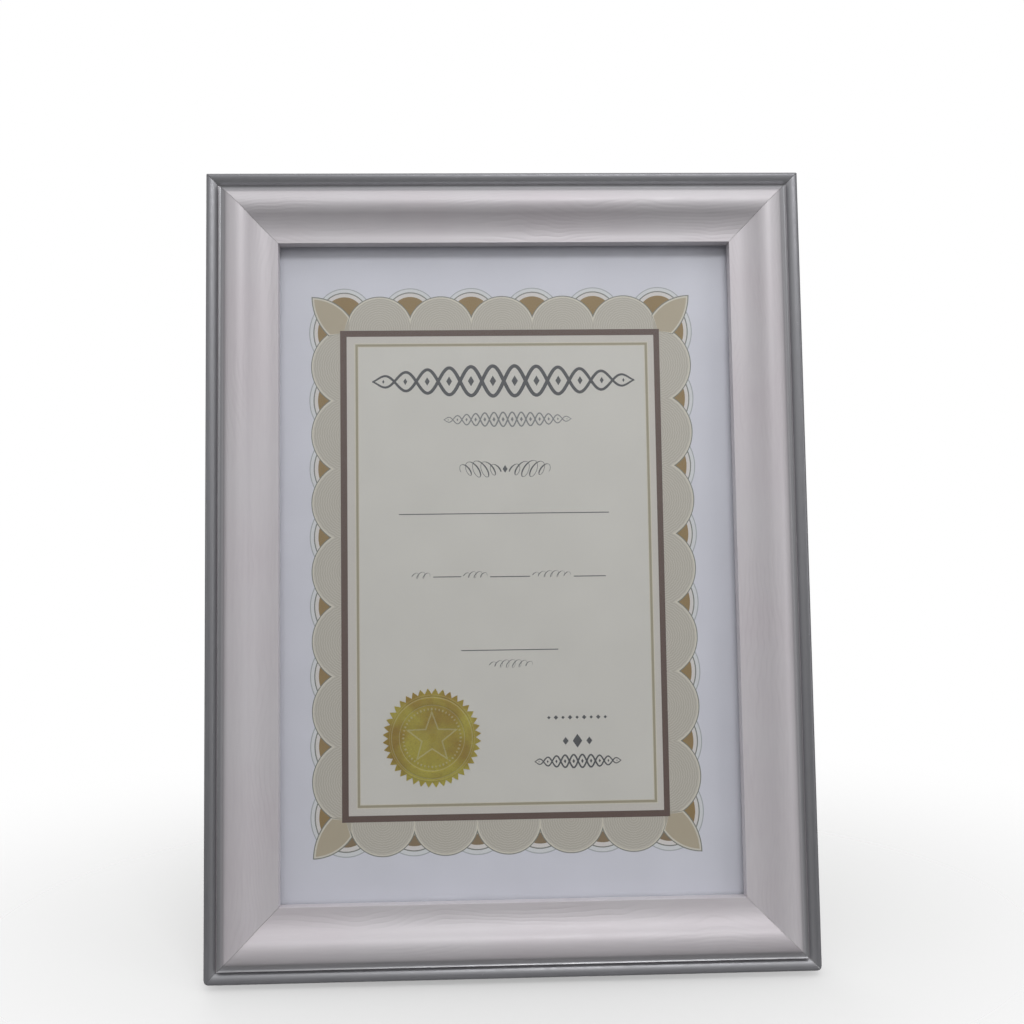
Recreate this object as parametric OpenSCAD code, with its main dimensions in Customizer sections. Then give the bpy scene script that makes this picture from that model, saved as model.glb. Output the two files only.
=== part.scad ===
// A standing picture frame for one sheet: four mitred lengths of moulding, glass, sheet and board,
// turn buttons that hold the board in, two hanging rings, and a strut on a hinge with its own stop.
// Each piece is drawn as it lies on a bench, face up: X to the right, Y up the frame, Z out of its
// face, with the rails' backs at Z = 0. Then the whole frame is stood up, leaning back on its strut.

/* [Contents] */
// Width of the sheet on show
insert_w = 210; // [180:1:320]
// Height of the sheet on show
insert_h = 297; // [250:1:450]
// Thickness of the glass
glass_t = 2; // [1.5:0.1:4]
// Thickness of the sheet
sheet_t = 0.3; // [0.1:0.05:1]
// Thickness of the backing board
board_t = 3; // [2:0.1:6]
// How far the moulding laps over the sheet
lip_cover = 5; // [3:0.5:8]
// Room round the sheet, the glass and the board
fit_gap = 0.5; // [0.2:0.1:1.5]
// How far the board lies inside the rails' backs
board_recess = 0.3; // [0:0.1:1]

/* [Moulding] */
// Width of the moulding's face
rail_w = 31.5; // [29:0.5:45]
// Thickness of the lip, from the glass to the sight edge
lip_t = 6.5; // [3:0.5:10]
// Width of the flat at the sight edge
sight_flat = 2.5; // [1.5:0.5:5]
// Rise of the hump's crest over the sight edge
crest_rise = 5.7; // [4:0.1:9]
// Radius of the hump on the sight side of its crest
hump_r = 7.6; // [7.6:0.1:9]
// Radius of the hump on the outer side of its crest
hump_outer_r = 6.6; // [6:0.1:7.2]
// Width of the hump from its foot to its crest
hump_run = 5.8; // [5.4:0.1:6.3]
// Rise of the outer bead over the sight edge
bead_rise = 0.9; // [-1:0.1:1.5]
// Width of the outer bead
bead_w = 4.9; // [4:0.1:5.5]
// Radius of the bead's outer corner
bead_round = 1.3; // [0.6:0.1:2]
// Radius of the bead's inner fall
bead_fall_r = 5; // [5:0.1:9]
// Width of the quirk between the bead and the hollow
quirk_w = 0.9; // [0.4:0.1:1.5]
// Depth of the quirk under the bead's crest
quirk_d = 2.2; // [1.8:0.1:4]
// Width of the hollow between the quirk and the hump's foot
hollow_w = 2.6; // [2.2:0.1:2.9]
// Radius of the hollow
hollow_r = 1.7; // [1.6:0.1:2.2]
// Edge of the relief channel, from the outer edge
relief_u = 8; // [7:0.5:9]
// Width of the relief channel in the back
relief_w = 9; // [5:0.5:9.5]
// Depth of the relief channel
relief_d = 4; // [1:0.5:6]
// Gap between two rails at a mitre
mitre_gap = 0.15; // [0.05:0.05:0.3]
// Radius of the two bottom corners
bottom_corner_r = 2.8; // [1:0.1:4]
// Radius of the two top corners
top_corner_r = 0.8; // [0.4:0.1:4]

/* [Corner nails] */
// Thickness of a corner nail
nail_t = 0.5; // [0.3:0.1:0.8]
// Length of each leg of a corner nail
nail_leg = 4.5; // [3:0.5:6]
// How deep a corner nail is driven
nail_d = 7; // [4:0.5:8]

/* [Turn buttons] */
// Length of a turn button
button_l = 24; // [20:0.5:26]
// Width of a turn button
button_w = 8; // [6:0.5:8.5]
// Thickness of a turn button
button_t = 0.8; // [0.5:0.1:1.5]
// Radius of a button screw's shank
screw_r = 1.5; // [1:0.1:2]
// Length of a button screw under its head
screw_l = 10; // [6:0.5:11]
// Radius of a button screw's head
screw_head_r = 3; // [2.5:0.1:3.6]
// Height of a button screw's head
screw_head_h = 1.7; // [1:0.1:2.2]
// Room over and under a button, so that it turns
turn_gap = 0.1; // [0.05:0.05:0.3]

/* [Strut and hinge] */
// Angle that the frame leans back
lean = 15; // [10:1:20]
// Angle between the frame and the open strut
strut_open = 20; // [18:1:30]
// Thickness of the strut
strut_t = 2.5; // [2:0.1:4]
// Width of the strut at the hinge
strut_top_w = 40; // [34:1:50]
// Width of the strut at its foot
strut_foot_w = 64; // [45:1:66]
// Gap between the closed strut and the rails' backs
strut_gap = 1; // [0.6:0.1:2]
// Thickness of the hinge's sheet metal
leaf_t = 0.8; // [0.5:0.1:1.2]
// Radius of the hinge pin
pin_r = 1; // [0.7:0.1:1.4]
// Running clearance round the hinge pin
pin_fit = 0.05; // [0.02:0.01:0.1]
// Width of the strut leaf's curls, with the stop tail between
curl_w = 16; // [12:1:20]
// Width of each curl of the board leaf
outer_curl_w = 6; // [4:0.5:9]
// Width of the stop tail
tail_w = 5; // [3:0.5:6]
// Height of the board leaf over the hinge axis
board_leaf_h = 23; // [21:1:30]
// Length of the strut leaf under the hinge axis
strut_leaf_l = 27; // [25:1:36]

/* [Rivets] */
// Radius of a rivet's shank
rivet_r = 1.4; // [1:0.1:1.6]
// Radius of a rivet's head
rivet_head_r = 2.8; // [2.4:0.1:3.2]
// Height of a rivet's head
rivet_head_h = 0.9; // [0.6:0.1:1]
// Radius of a rivet's clinched end
rivet_tail_r = 2.3; // [2:0.1:2.8]
// Thickness of a rivet's clinched end
rivet_tail_t = 0.5; // [0.3:0.1:0.6]

/* [Hanging rings] */
// Radius of the ring's wire
wire_r = 0.9; // [0.7:0.1:1]
// Clearance round the wire in its strap
wire_fit = 0.1; // [0.05:0.01:0.1]
// Width of a ring, between the middles of its sides
ring_w = 20; // [18:1:26]
// Radius of the ring's two tight corners
ring_corner_r = 2.5; // [2:0.1:3]
// Length of the ring's straight sides
ring_side = 3.5; // [2:0.5:6]
// Width of a ring's strap
strap_w = 11; // [9:0.5:12]
// Length of a ring's strap under the ring's axis
strap_l = 15; // [13:0.5:20]
// Thickness of a ring's strap
strap_t = 0.8; // [0.5:0.1:1]
// Distance of the upright ring's axis from the top of the frame
ring_drop = 58; // [50:1:90]
// Distance of the sideways ring's axis from the side of the frame
ring_inset = 50; // [48:1:60]

/* [Hidden] */
$fn = 96;

// Overrun of every cut past the faces that it opens
over = 1;

// Outline of the frame and of the sight opening
sight_w = insert_w - 2 * lip_cover;
sight_hgt = insert_h - 2 * lip_cover;
frame_w = sight_w + 2 * rail_w;
frame_h = sight_hgt + 2 * rail_w;
lip_w = lip_cover + fit_gap;
rabbet_u = rail_w - lip_w;

// Heights over the rails' backs
board_z = board_recess;
sheet_z = board_z + board_t;
glass_z = sheet_z + sheet_t;
rabbet_d = glass_z + glass_t;
sight_h = rabbet_d + lip_t;
crest_h = sight_h + crest_rise;
bead_h = sight_h + bead_rise;
quirk_h = bead_h - quirk_d;

// Places across the moulding, from its outer edge
hollow_edge_u = bead_w + quirk_w;
foot_u = hollow_edge_u + hollow_w;
crest_u = foot_u + hump_run;
cove_u = rail_w - sight_flat;

// The hump is two arcs that meet at its crest. The cove is the circle that touches the inner arc and
// the flat at the sight edge, and the hollow is a circle that touches the outer arc at its foot.
hump_z = crest_h - hump_r;
hump_outer_z = crest_h - hump_outer_r;
cove_run = cove_u - crest_u;
reach = (cove_run * cove_run + crest_rise * crest_rise) / (2 * crest_rise);
cove_r = reach - hump_r;
cove_angle = asin(cove_run / reach);
hump_foot_angle = acos(hump_run / hump_outer_r);
meet_u = crest_u + hump_r * sin(cove_angle);
meet_h = hump_z + hump_r * cos(cove_angle);
foot_h = hump_outer_z + hump_outer_r * sin(hump_foot_angle);
hollow_u = foot_u - hollow_r * cos(hump_foot_angle);
hollow_z = foot_h + hollow_r * sin(hump_foot_angle);
bead_fall_angle = acos((bead_w - bead_round) / bead_fall_r);
bead_edge_h = bead_h - bead_fall_r + bead_fall_r * sin(bead_fall_angle);

// Each corner has two nails, at these shares of the moulding's width from its outer edge
nail_shares = [0.14, 0.64];

// Two buttons on each side of the frame, at this share of the side from its middle
button_share = 0.27;
screw_edge_gap = 0.5;
screw_u = rabbet_u - button_w / 2 - screw_edge_gap;
turn_fit = 0.08;
pilot_fit = 0.05;
screw_tip_l = 2;
screw_crown_share = 0.8;
screw_point_share = 0.2;
recess_share = 0.55;
recess_w_share = 0.2;
button_top = -(turn_gap + button_t);
screw_seat = button_top - turn_gap;

// The hinge's axis lies behind the rails' backs, so that the strut leaf meets its curls flush
curl_r = pin_r + pin_fit + leaf_t;
axis_d = strut_gap + strut_t + leaf_t - curl_r;
hinge_share = 0.66;
hinge_y = hinge_share * frame_h;
curl_gap = 0.3;
pin_grip = 0.02;
hinge_half_w = curl_w / 2 + curl_gap + outer_curl_w;
pin_head_share = 1.5;
pin_head_t_share = 0.6;
pin_head_r = pin_head_share * pin_r;
pin_head_t = pin_head_t_share * pin_r;
strut_top_gap = 0.6;
stop_gap = 0.1;
leaf_back_d = leaf_t - board_recess;
tail_l = (axis_d + (curl_r - leaf_t) * cos(strut_open) - leaf_back_d - stop_gap) / sin(strut_open);
leaf_corner_r = 3;
strut_leaf_w = 30;
strut_foot_chamfer = 4;

// The foot is cut level with the table, so the strut's own length follows from its hinge
foot_angle = strut_open - lean;
axis_height = hinge_y * cos(lean) - axis_d * sin(lean);
strut_reach = (axis_height + curl_r + strut_t) / cos(foot_angle) + over;

// Rivets of the two leaves, as shares of a width across the frame and of the leaf's length from the
// hinge's axis
board_rivet_shares = [[-0.7, 0.66], [0, 0.78], [0.7, 0.66]];
leaf_rivet_shares = [[-0.3, 0.36], [0.3, 0.36], [0, 0.78]];
board_rivets = [for (share = board_rivet_shares) [share.x * curl_w, share.y * board_leaf_h]];
leaf_rivets = [for (share = leaf_rivet_shares) [share.x * strut_leaf_w, share.y * strut_leaf_l]];
rivet_fit = 0.05;

// The ring's axis stands off the board by the outside of the strap's curl
strap_curl_r = wire_r + wire_fit + strap_t;
ring_lift = strap_curl_r;
ring_arc_r = ring_w / 2;
ring_leg_w = ring_w - 2 * ring_corner_r;
strap_rivet_share = 0.62;
strap_corner_r = 2;
upright_y = frame_h - ring_drop;
sideways_x = frame_w / 2 - ring_inset;
ring_axis_d = ring_lift - board_recess;

// The lean moves the front and the back of the frame, and the origin is midway between them
front_y = -hump_outer_z * cos(lean) + crest_u * sin(lean) - hump_outer_r;
back_y = frame_h * sin(lean);
origin_y = (front_y + back_y) / 2;

// Stands the frame up on its lower back edge, leaning back
module stand() {
    translate([0, -origin_y, 0]) rotate([90 - lean, 0, 0]) children();
}

// Opens the strut about the hinge's axis, from flat against the back
module open_strut() {
    translate([0, hinge_y, -axis_d]) rotate([strut_open, 0, 0]) children();
}

// Slice of a disc between two angles
module sector(r, from, to) {
    middle = (from + to) / 2;
    intersection() {
        circle(r);
        polygon([[0, 0], 2 * r * [cos(from), sin(from)], 2 * r * [cos(middle), sin(middle)],
            2 * r * [cos(to), sin(to)]]);
    }
}

// The corner that a rounded edge leaves over
module corner_waste(r) {
    difference() {
        translate([-over, -over]) square(r + over);
        translate([r, r]) circle(r);
    }
}

// Rectangle standing on its lower edge, with four rounded corners
module rounded_plate(w, h, r) {
    difference() {
        translate([-w / 2, 0]) square([w, h]);
        for (side = [-1, 1]) {
            translate([side * w / 2, 0]) scale([-side, 1]) corner_waste(r);
            translate([side * w / 2, h]) scale([-side, -1]) corner_waste(r);
        }
    }
}

// Outer bead: a small round outside its crest and a long fall inside
module bead_profile() {
    square([bead_w, quirk_h]);
    polygon([[0, 0], [bead_w, 0], [bead_w, bead_edge_h], [bead_round, bead_h - bead_fall_r],
        [bead_round, bead_h - bead_round], [0, bead_h - bead_round]]);
    translate([bead_round, bead_h - bead_round]) sector(bead_round, 90, 180);
    translate([bead_round, bead_h - bead_fall_r]) sector(bead_fall_r, bead_fall_angle, 90);
}

// Hollow, hump, cove and the flat at the sight edge
module hump_profile() {
    difference() {
        polygon([[hollow_edge_u, 0], [rail_w, 0], [rail_w, sight_h], [cove_u, sight_h],
            [meet_u, meet_h], [crest_u, crest_h], [crest_u, foot_h], [hollow_edge_u, foot_h]]);
        translate([cove_u, sight_h + cove_r]) sector(cove_r, 270 - cove_angle, 270);
        translate([hollow_u, hollow_z]) circle(hollow_r);
    }
    translate([crest_u, hump_z]) sector(hump_r, 90 - cove_angle, 90);
    translate([crest_u, hump_outer_z]) sector(hump_outer_r, 90, 180 - hump_foot_angle);
}

// Section of the moulding, outer edge at 0, with its rabbet and the relief channel in its back
module moulding_profile() {
    difference() {
        union() {
            bead_profile();
            square([hollow_edge_u + over, quirk_h]);
            hump_profile();
        }
        translate([rabbet_u, -over]) square([lip_w + over, rabbet_d + over]);
        translate([relief_u, -over]) square([relief_w, relief_d + over]);
    }
}

// Outline of the frame, with its own corners
module frame_outline() {
    difference() {
        translate([-frame_w / 2, 0]) square([frame_w, frame_h]);
        for (side = [-1, 1]) {
            translate([side * frame_w / 2, 0]) scale([-side, 1]) corner_waste(bottom_corner_r);
            translate([side * frame_w / 2, frame_h]) scale([-side, -1]) corner_waste(top_corner_r);
        }
    }
}

// One length of moulding along X, cut to its two mitres, outer edge on the X axis
module mitred_length(length) {
    tip = length / 2 - mitre_gap / 2;
    intersection() {
        rotate([90, 0, 90]) linear_extrude(length, center = true) moulding_profile();
        translate([0, 0, -over]) linear_extrude(crest_h + 2 * over)
            polygon([[-tip, 0], [tip, 0], [tip - rail_w, rail_w], [rail_w - tip, rail_w]]);
    }
}

// Plan of a corner nail: two legs from a point on the mitre, one into each rail
module nail_plan(u) {
    difference() {
        translate([u - nail_t / 2, u - nail_t / 2]) square(nail_leg);
        translate([u + nail_t / 2, u + nail_t / 2]) square(nail_leg);
    }
}

// The nails of all four corners, grown at the back so that the slots for them open there
module corner_nails(grow = 0) {
    translate([0, 0, -grow]) linear_extrude(nail_d + grow) for (share = nail_shares)
        for (side = [-1, 1]) {
            translate([side * frame_w / 2, 0]) scale([-side, 1]) nail_plan(share * rail_w);
            translate([side * frame_w / 2, frame_h]) scale([-side, -1]) nail_plan(share * rail_w);
        }
}

// Place of a button's screw on the rails' backs, and its turn
function button_place(name) =
    name == "top_left" ? [-button_share * frame_w, frame_h - screw_u, 180] :
    name == "top_right" ? [button_share * frame_w, frame_h - screw_u, 180] :
    name == "bottom_left" ? [-button_share * frame_w, screw_u, 0] :
    name == "bottom_right" ? [button_share * frame_w, screw_u, 0] :
    name == "left_upper" ? [screw_u - frame_w / 2, frame_h / 2 + button_share * frame_h, -90] :
    name == "left_lower" ? [screw_u - frame_w / 2, frame_h / 2 - button_share * frame_h, -90] :
    name == "right_upper" ? [frame_w / 2 - screw_u, frame_h / 2 + button_share * frame_h, 90] :
    [frame_w / 2 - screw_u, frame_h / 2 - button_share * frame_h, 90];
button_names = ["top_left", "top_right", "bottom_left", "bottom_right",
    "left_upper", "left_lower", "right_upper", "right_lower"];

// Puts something at a button, its screw at the origin and the board towards +Y
module at_button(name) {
    place = button_place(name);
    translate([place.x, place.y, 0]) rotate([0, 0, place.z]) children();
}

// The holes that the button screws bite into
module pilot_holes() {
    for (name = button_names)
        at_button(name) translate([0, 0, -over]) cylinder(screw_l + over, r = screw_r + pilot_fit);
}

module finished_rail() {
    color("lavenderblush") stand() difference() {
        intersection() {
            children();
            translate([0, 0, -over]) linear_extrude(crest_h + 2 * over) frame_outline();
        }
        corner_nails(over);
        pilot_holes();
    }
}

module rail_bottom() {
    finished_rail() mitred_length(frame_w);
}

module rail_top() {
    finished_rail() translate([0, frame_h, 0]) rotate([0, 0, 180]) mitred_length(frame_w);
}

module rail_left() {
    finished_rail() translate([-frame_w / 2, frame_h / 2, 0]) rotate([0, 0, -90])
        mitred_length(frame_h);
}

module rail_right() {
    finished_rail() translate([frame_w / 2, frame_h / 2, 0]) rotate([0, 0, 90])
        mitred_length(frame_h);
}

module corner_v_nails() {
    color("silver") stand() corner_nails();
}

// A sheet of the contents, standing on the bottom rail's rabbet
module content_sheet(z, t) {
    translate([-insert_w / 2, rabbet_u, z]) cube([insert_w, insert_h, t]);
}

module glazing_pane() {
    color("aliceblue", 0.3) stand() content_sheet(glass_z, glass_t);
}

module insert_sheet() {
    color("ivory") stand() content_sheet(sheet_z, sheet_t);
}

// Rivet with its head's underside at Z = 0, head up, through the given thickness
module rivet(grip) {
    dome_r = (rivet_head_r * rivet_head_r + rivet_head_h * rivet_head_h) / (2 * rivet_head_h);
    intersection() {
        cylinder(rivet_head_h, r = rivet_head_r);
        translate([0, 0, rivet_head_h - dome_r]) sphere(dome_r);
    }
    translate([0, 0, -grip]) cylinder(grip, r = rivet_r);
    translate([0, 0, -grip - rivet_tail_t]) cylinder(rivet_tail_t, r = rivet_tail_r);
}

// Puts something on the board's back, facing backwards, at each rivet of the hinge's board leaf
module at_board_rivets() {
    for (place = board_rivets)
        translate([place.x, hinge_y + place.y, board_z]) rotate([0, 180, 0]) children();
}

// Puts something on the board's back, facing backwards, at each ring's axis, strap towards -Y
module at_upright_ring() {
    translate([0, upright_y, board_z]) rotate([0, 180, 0]) children();
}

module at_sideways_ring() {
    translate([sideways_x, frame_h / 2, board_z]) rotate([0, 180, -90]) children();
}

module at_strap_rivet() {
    translate([0, -strap_rivet_share * strap_l, 0]) children();
}

// Hole for a rivet that comes through from the back, with a sunk seat for its clinched end
module board_rivet_hole() {
    translate([0, 0, -board_t - over]) cylinder(board_t + 2 * over, r = rivet_r + rivet_fit);
    translate([0, 0, -board_t - over]) cylinder(over + rivet_tail_t, r = rivet_tail_r + rivet_fit);
}

module backing_board() {
    color("peru") stand() difference() {
        content_sheet(board_z, board_t);
        at_board_rivets() board_rivet_hole();
        at_upright_ring() at_strap_rivet() board_rivet_hole();
        at_sideways_ring() at_strap_rivet() board_rivet_hole();
    }
}

// Puts a cylinder along the hinge's axis, between two places across the frame
module along_axis(from, to, r) {
    translate([from, 0, 0]) rotate([0, 90, 0]) cylinder(to - from, r = r);
}

// Puts something at the hinge's axis, with the frame's back towards +Z
module at_hinge() {
    translate([0, hinge_y, -axis_d]) children();
}

// Plate on the board, and the two outer curls that it runs into
module hinge_board_leaf() {
    plate_z = axis_d + board_recess - leaf_t;
    color("lightgray") stand() at_hinge() difference() {
        union() {
            translate([0, curl_r - leaf_t, plate_z]) linear_extrude(leaf_t)
                rounded_plate(2 * hinge_half_w, board_leaf_h - curl_r + leaf_t, leaf_corner_r);
            for (side = [-1, 1]) {
                inner = side < 0 ? -hinge_half_w : curl_w / 2 + curl_gap;
                along_axis(inner, inner + outer_curl_w, curl_r);
                translate([inner, curl_r - leaf_t, 0])
                    cube([outer_curl_w, leaf_t, plate_z + leaf_t]);
                translate([inner, curl_r - leaf_t, plate_z])
                    cube([outer_curl_w, leaf_corner_r + leaf_t, leaf_t]);
            }
        }
        along_axis(-hinge_half_w - over, hinge_half_w + over, pin_r + pin_grip);
        translate([-curl_w / 2 - curl_gap, -over, -over])
            cube([curl_w + 2 * curl_gap, over + curl_r + curl_gap, plate_z + leaf_t + 2 * over]);
        for (place = board_rivets) translate([place.x, place.y, 0])
            cylinder(plate_z + leaf_t + over, r = rivet_r + rivet_fit);
    }
}

module hinge_pin() {
    color("gainsboro") stand() at_hinge() {
        along_axis(-hinge_half_w, hinge_half_w, pin_r);
        along_axis(-hinge_half_w - pin_head_t, -hinge_half_w, pin_head_r);
        along_axis(hinge_half_w, hinge_half_w + pin_head_t, pin_head_r);
    }
}

module hinge_board_rivets() {
    color("silver") stand() at_board_rivets() translate([0, 0, leaf_t])
        rivet(leaf_t + board_t - rivet_tail_t);
}

// Strut and strut leaf are drawn closed, from the hinge's axis down: the strut's rear face is at
// Z = -strut_rear, and the frame's back is towards +Z
strut_rear = curl_r - leaf_t;

module strut() {
    top_y = -curl_r - strut_top_gap;
    foot_in = strut_foot_w / 2 - strut_foot_chamfer;
    foot_y = -axis_height / cos(foot_angle);
    color("peru") difference() {
        stand() open_strut() difference() {
            translate([0, 0, -strut_rear]) linear_extrude(strut_t)
                polygon([[-strut_top_w / 2, top_y], [strut_top_w / 2, top_y],
                    [strut_foot_w / 2, foot_y + strut_foot_chamfer], [foot_in, foot_y],
                    [foot_in, -strut_reach], [-foot_in, -strut_reach], [-foot_in, foot_y],
                    [-strut_foot_w / 2, foot_y + strut_foot_chamfer]]);
            for (place = leaf_rivets) translate([place.x, -place.y, -strut_rear - over])
                cylinder(strut_t + 2 * over, r = rivet_r + rivet_fit);
        }
        translate([-frame_w / 2, -frame_h / 2, -frame_h]) cube([frame_w, frame_h, frame_h]);
    }
}

// Plate on the strut's rear face, two curls round the pin, and the tail that stops the strut
module hinge_strut_leaf() {
    color("lightgray") stand() open_strut() difference() {
        union() {
            translate([0, -strut_leaf_l, -curl_r]) linear_extrude(leaf_t)
                rounded_plate(strut_leaf_w, strut_leaf_l - curl_r - strut_top_gap, leaf_corner_r);
            translate([-curl_w / 2, -curl_r - strut_top_gap - leaf_corner_r, -curl_r])
                cube([curl_w, curl_r + strut_top_gap + leaf_corner_r, leaf_t]);
            along_axis(-curl_w / 2, curl_w / 2, curl_r);
            translate([-tail_w / 2, 0, -curl_r]) cube([tail_w, tail_l, leaf_t]);
        }
        along_axis(-curl_w / 2 - over, curl_w / 2 + over, pin_r + pin_fit);
        translate([-tail_w / 2 - curl_gap, -curl_r - over, leaf_t - curl_r])
            cube([tail_w + 2 * curl_gap, 2 * curl_r + 2 * over, 2 * curl_r]);
        for (side = [-1, 1]) translate([side * (tail_w + curl_gap) / 2, 0, 0])
            translate([-curl_gap / 2, 0, -curl_r - over])
                cube([curl_gap, curl_r + over, 2 * curl_r + 2 * over]);
        for (place = leaf_rivets) translate([place.x, -place.y, -curl_r - over])
            cylinder(leaf_t + 2 * over, r = rivet_r + rivet_fit);
    }
}

module strut_rivets() {
    color("silver") stand() open_strut() for (place = leaf_rivets)
        translate([place.x, -place.y, -curl_r]) rotate([0, 180, 0]) rivet(leaf_t + strut_t);
}

// Flat steel strip with round ends, turning on its screw
module turn_button(name) {
    color("silver") stand() at_button(name) translate([0, 0, button_top]) difference() {
        linear_extrude(button_t) {
            circle(button_w / 2);
            translate([-button_w / 2, 0]) square([button_w, button_l - button_w]);
            translate([0, button_l - button_w]) circle(button_w / 2);
        }
        translate([0, 0, -over]) cylinder(button_t + 2 * over, r = screw_r + turn_fit);
    }
}

// Round-headed screw, head to the back, with a cross recess
module button_screw() {
    difference() {
        union() {
            translate([0, 0, -screw_head_h])
                cylinder(screw_head_h, screw_crown_share * screw_head_r, screw_head_r);
            cylinder(screw_l - screw_tip_l, r = screw_r);
            translate([0, 0, screw_l - screw_tip_l])
                cylinder(screw_tip_l, screw_r, screw_point_share * screw_r);
        }
        for (turn = [0, 90]) rotate([0, 0, turn])
            translate([-screw_head_r * recess_share, -screw_head_r * recess_w_share / 2,
                -screw_head_h - over])
                cube([2 * screw_head_r * recess_share, screw_head_r * recess_w_share,
                    over + screw_head_h * recess_share]);
    }
}

module turn_button_screws() {
    color("gainsboro") stand() for (name = button_names)
        at_button(name) translate([0, 0, screw_seat]) button_screw();
}

// Strip folded round the ring's wire and riveted to the board, axis along X over the origin
module hanger_strap() {
    difference() {
        union() {
            translate([0, -strap_l, 0]) linear_extrude(strap_t)
                rounded_plate(strap_w, strap_l, strap_corner_r);
            translate([-strap_w / 2, -strap_corner_r - strap_t, 0])
                cube([strap_w, strap_corner_r + strap_t, strap_t]);
            translate([0, 0, ring_lift]) along_axis(-strap_w / 2, strap_w / 2, strap_curl_r);
        }
        translate([0, 0, ring_lift])
            along_axis(-strap_w / 2 - over, strap_w / 2 + over, wire_r + wire_fit);
        at_strap_rivet() translate([0, 0, -over])
            cylinder(strap_t + 2 * over, r = rivet_r + rivet_fit);
    }
}

// D-shaped ring of round wire, its straight leg along X and its bow towards -Y
module hanger_ring() {
    along_axis(-ring_leg_w / 2, ring_leg_w / 2, wire_r);
    for (side = [-1, 1]) {
        translate([side * ring_leg_w / 2, -ring_corner_r, 0]) rotate([0, 0, side < 0 ? 90 : 0])
            rotate_extrude(angle = 90) translate([ring_corner_r, 0]) circle(wire_r);
        translate([side * ring_w / 2, -ring_corner_r - ring_side, 0]) rotate([-90, 0, 0])
            cylinder(ring_side, r = wire_r);
    }
    translate([0, -ring_corner_r - ring_side, 0]) rotate([0, 0, 180])
        rotate_extrude(angle = 180) translate([ring_arc_r, 0]) circle(wire_r);
}

module hanger_strap_upright() {
    color("lightgray") stand() at_upright_ring() hanger_strap();
}

module hanger_strap_sideways() {
    color("lightgray") stand() at_sideways_ring() hanger_strap();
}

// The upright ring hangs plumb, and the sideways one swings out to its lowest place
module hanger_ring_upright() {
    color("silver") stand() at_upright_ring() translate([0, 0, ring_lift]) rotate([-lean, 0, 0])
        hanger_ring();
}

module hanger_ring_sideways() {
    color("silver") stand() at_sideways_ring() translate([0, 0, ring_lift]) rotate([-90, 0, 0])
        hanger_ring();
}

module hanger_rivets() {
    color("silver") stand() {
        at_upright_ring() at_strap_rivet() translate([0, 0, strap_t])
            rivet(strap_t + board_t - rivet_tail_t);
        at_sideways_ring() at_strap_rivet() translate([0, 0, strap_t])
            rivet(strap_t + board_t - rivet_tail_t);
    }
}

rail_top();
rail_bottom();
rail_left();
rail_right();
corner_v_nails();
glazing_pane();
insert_sheet();
backing_board();
hinge_board_leaf();
hinge_pin();
hinge_board_rivets();
strut();
hinge_strut_leaf();
strut_rivets();
turn_button("top_left");  // turn_button_top_left
turn_button("top_right");  // turn_button_top_right
turn_button("bottom_left");  // turn_button_bottom_left
turn_button("bottom_right");  // turn_button_bottom_right
turn_button("left_upper");  // turn_button_left_upper
turn_button("left_lower");  // turn_button_left_lower
turn_button("right_upper");  // turn_button_right_upper
turn_button("right_lower");  // turn_button_right_lower
turn_button_screws();
hanger_strap_upright();
hanger_ring_upright();
hanger_strap_sideways();
hanger_ring_sideways();
hanger_rivets();
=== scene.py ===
"""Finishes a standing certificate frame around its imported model, in the order it is put together."""
import math

import bpy
from mathutils import Matrix, Vector, geometry, noise


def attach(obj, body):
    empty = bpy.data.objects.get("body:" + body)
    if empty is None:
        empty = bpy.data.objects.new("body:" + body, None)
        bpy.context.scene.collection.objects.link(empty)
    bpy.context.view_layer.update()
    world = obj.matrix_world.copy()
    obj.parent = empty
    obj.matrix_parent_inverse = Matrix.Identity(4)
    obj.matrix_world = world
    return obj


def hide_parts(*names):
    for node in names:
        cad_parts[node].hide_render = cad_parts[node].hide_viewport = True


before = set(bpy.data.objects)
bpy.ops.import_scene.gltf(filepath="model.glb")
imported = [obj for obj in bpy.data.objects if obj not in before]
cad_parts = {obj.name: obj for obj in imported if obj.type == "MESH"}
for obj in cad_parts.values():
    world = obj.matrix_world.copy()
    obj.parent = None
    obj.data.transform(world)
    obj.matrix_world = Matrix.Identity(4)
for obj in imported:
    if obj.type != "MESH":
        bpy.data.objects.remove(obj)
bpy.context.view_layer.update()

# The camera stands a little left of the middle, near the height of the frame's head, and looks
# slightly down on the leaning frame.
CAMERA_AT = Vector((-0.0194, -0.5559, 0.2993))
HEADING, PITCH, ROLL = math.radians(-2.14), math.radians(-10.6), math.radians(-0.27)

camera = bpy.data.objects.new("camera", bpy.data.cameras.new("camera"))
bpy.context.scene.collection.objects.link(camera)
camera.data.sensor_width = 36.0
camera.data.lens = 45.7
camera.matrix_world = (
    Matrix.Translation(CAMERA_AT)
    @ Matrix.Rotation(HEADING, 4, "Z")
    @ Matrix.Rotation(math.pi / 2 + PITCH, 4, "X")
    @ Matrix.Rotation(ROLL, 4, "Z")
)
bpy.context.scene.camera = camera

# The moulding is a plastic extrusion wrapped in two foils that meet in the quirk: gunmetal on the
# outer bead, and pearl with pressed wood grain inwards of it, with grey toner rubbed into its hollow.
# Each mitred length is made on the bench, face up: across from its outer edge, and up from its back.
MM = 0.001
LEAN = math.radians(15)
BACK_FOOT = Vector((0, -38.422 * MM, 0))
bench = Matrix.Translation(BACK_FOOT) @ Matrix.Rotation(math.pi / 2 - LEAN, 4, "X")

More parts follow.
